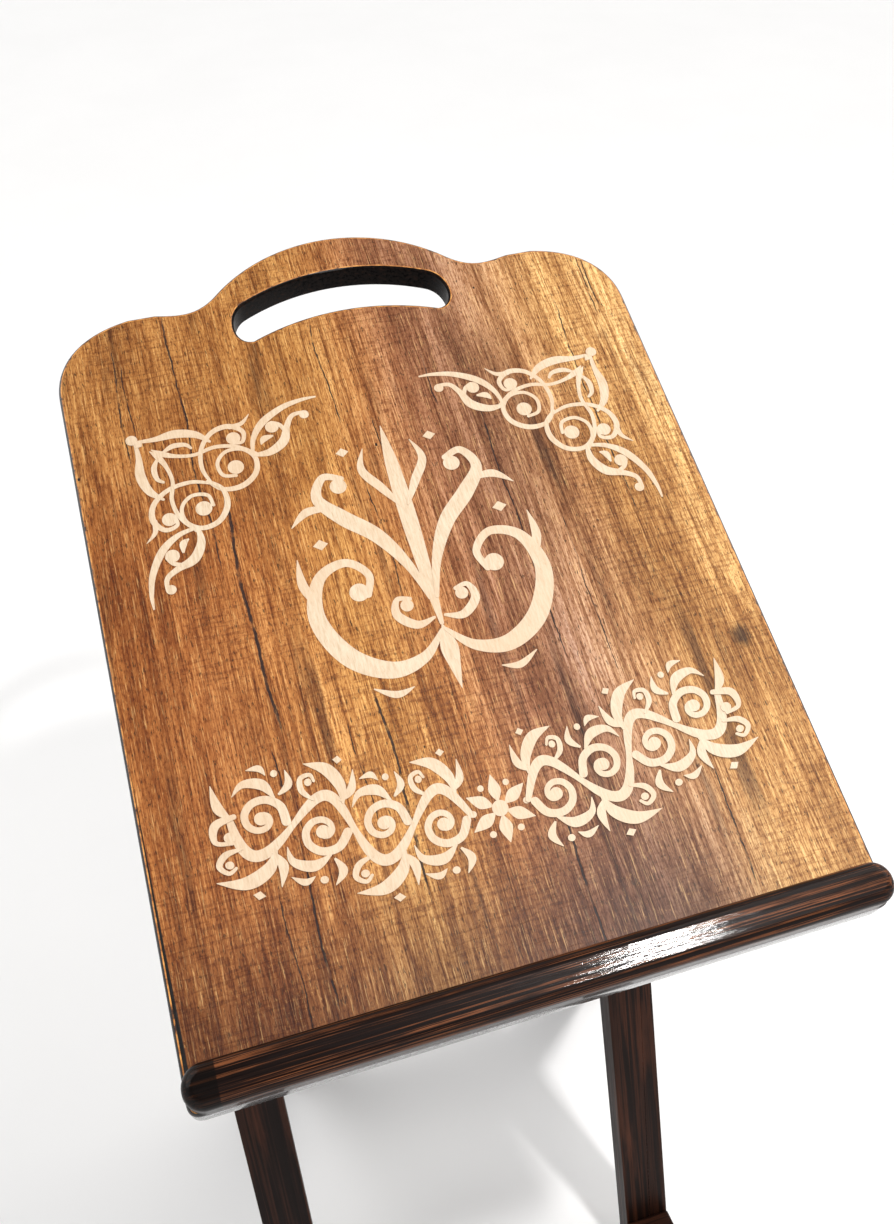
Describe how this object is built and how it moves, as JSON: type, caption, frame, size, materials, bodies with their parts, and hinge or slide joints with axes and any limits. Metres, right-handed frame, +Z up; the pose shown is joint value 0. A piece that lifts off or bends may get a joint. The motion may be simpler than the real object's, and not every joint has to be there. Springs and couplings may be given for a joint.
{
  "type": "folding quran stand",
  "caption": "Floor-standing folding reading stand: tilted wooden board with hand slot, book ledge and pale inlays on two crossing leg frames with a notched tilt rack.",
  "frame": {"origin": "on the floor, under the middle of the stand's bounding box", "axes": "+Z up, +X to the reader's right, the reader stands on the -Y side and the board's high edge is on the +Y side"},
  "size_m": [0.3514, 0.4578, 0.7719],
  "materials": {
    "board_wood": "satin varnish over grained wood",
    "ledge_wood": "high gloss lacquer over dark stained softwood",
    "leg_wood": "semi-gloss lacquer over dark stain",
    "inlay_wood": "satin, pale close-grained wood",
    "steel": "zinc plated",
    "brass": "lightly brushed",
    "rubber": "matt black"
  },
  "bodies": {
    "rear_frame": {"hinge_leaf_leg_left": "brass", "hinge_leaf_leg_right": "brass", "hinge_pin_left": "brass", "hinge_pin_right": "brass", "hinge_screw_leg_left_1": "brass", "hinge_screw_leg_left_2": "brass", "hinge_screw_leg_right_1": "brass", "hinge_screw_leg_right_2": "brass", "pivot_bolt_left": "steel", "pivot_bolt_right": "steel", "pivot_nut_left": "steel", "pivot_nut_right": "steel", "pivot_washer_left": "steel", "pivot_washer_right": "steel", "rear_foot_left": "rubber", "rear_foot_right": "rubber", "rear_leg_left": "leg_wood", "rear_leg_right": "leg_wood", "rear_lower_rail": "leg_wood", "rear_lower_rail_screw_left": "steel", "rear_lower_rail_screw_right": "steel", "rear_middle_rail": "leg_wood", "rear_middle_rail_screw_left": "steel", "rear_middle_rail_screw_right": "steel"},
    "front_frame": {"bar_screw_left": "steel", "bar_screw_right": "steel", "front_foot_left": "rubber", "front_foot_right": "rubber", "front_leg_left": "leg_wood", "front_leg_right": "leg_wood", "front_lower_rail": "leg_wood", "front_lower_rail_screw_left": "steel", "front_lower_rail_screw_right": "steel", "front_top_bar": "leg_wood", "front_upper_rail": "leg_wood", "front_upper_rail_screw_left": "steel", "front_upper_rail_screw_right": "steel"},
    "board": {"centre_inlay": "inlay_wood", "corner_inlay_left": "inlay_wood", "corner_inlay_right": "inlay_wood", "garland_inlay": "inlay_wood", "hinge_leaf_board_left": "brass", "hinge_leaf_board_right": "brass", "hinge_screw_board_left_1": "brass", "hinge_screw_board_left_2": "brass", "hinge_screw_board_right_1": "brass", "hinge_screw_board_right_2": "brass", "ledge_screw_left": "steel", "ledge_screw_middle": "steel", "ledge_screw_right": "steel", "panel_board": "board_wood", "panel_ledge": "ledge_wood", "rack_batten_left": "leg_wood", "rack_batten_right": "leg_wood", "rack_screw_left_lower": "steel", "rack_screw_left_upper": "steel", "rack_screw_right_lower": "steel", "rack_screw_right_upper": "steel"}
  },
  "joints": [
    {"name": "leg_fold", "type": "hinge", "parent": "rear_frame", "child": "front_frame", "pos_m": [0, -0.03227, 0.33876], "axis": [1, 0, 0], "range_deg": [0, 40]},
    {"name": "board_tilt", "type": "hinge", "parent": "rear_frame", "child": "board", "pos_m": [0, -0.16718, 0.59084], "axis": [1, 0, 0], "range_deg": [0, 91.44]}
  ],
  "couplings": [
    {"joint": "board_tilt", "follows": "leg_fold", "ratio": 2.286}
  ]
}
